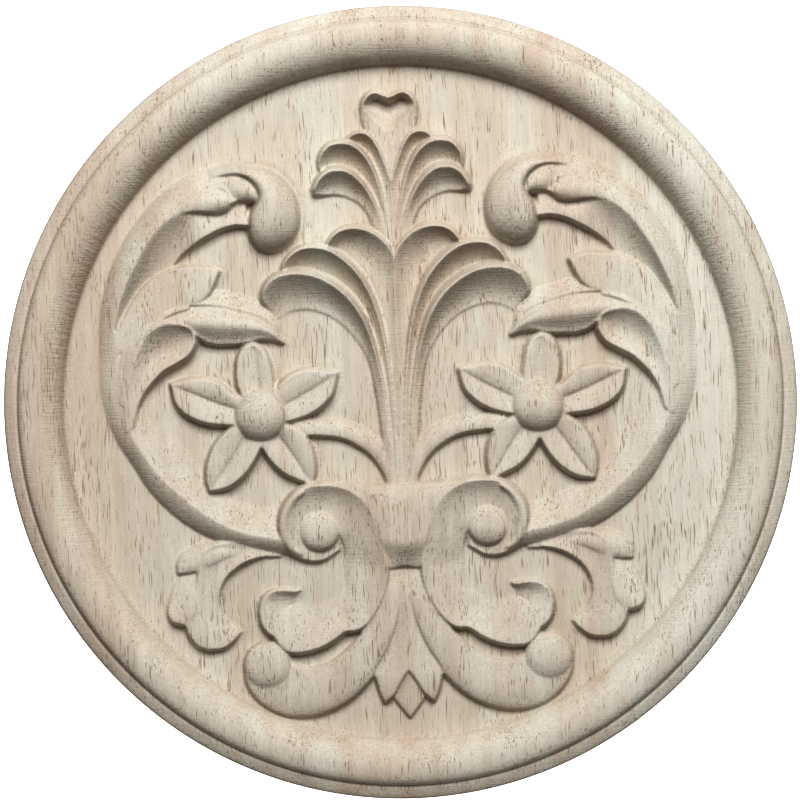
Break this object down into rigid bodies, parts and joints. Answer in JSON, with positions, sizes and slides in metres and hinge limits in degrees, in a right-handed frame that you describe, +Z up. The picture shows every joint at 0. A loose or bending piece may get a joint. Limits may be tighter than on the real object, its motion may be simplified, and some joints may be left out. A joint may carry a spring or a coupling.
{
  "type": "carved rosette",
  "caption": "Round flat-backed wall rosette with a turned rim, carved in relief with scrolls, flowers, palmettes and a hanging bud.",
  "frame": {"origin": "centre of the flat back, where it meets the wall or panel", "axes": "+X to the right as the carving is looked at, +Y out of the back into the wall, +Z up towards the heart"},
  "size_m": [0.3, 0.022, 0.3],
  "materials": {
    "raw_hardwood": "bare sanded wood with no stain or varnish"
  },
  "bodies": {
    "root": {"carved_rosette": "raw_hardwood"}
  },
  "joints": []
}
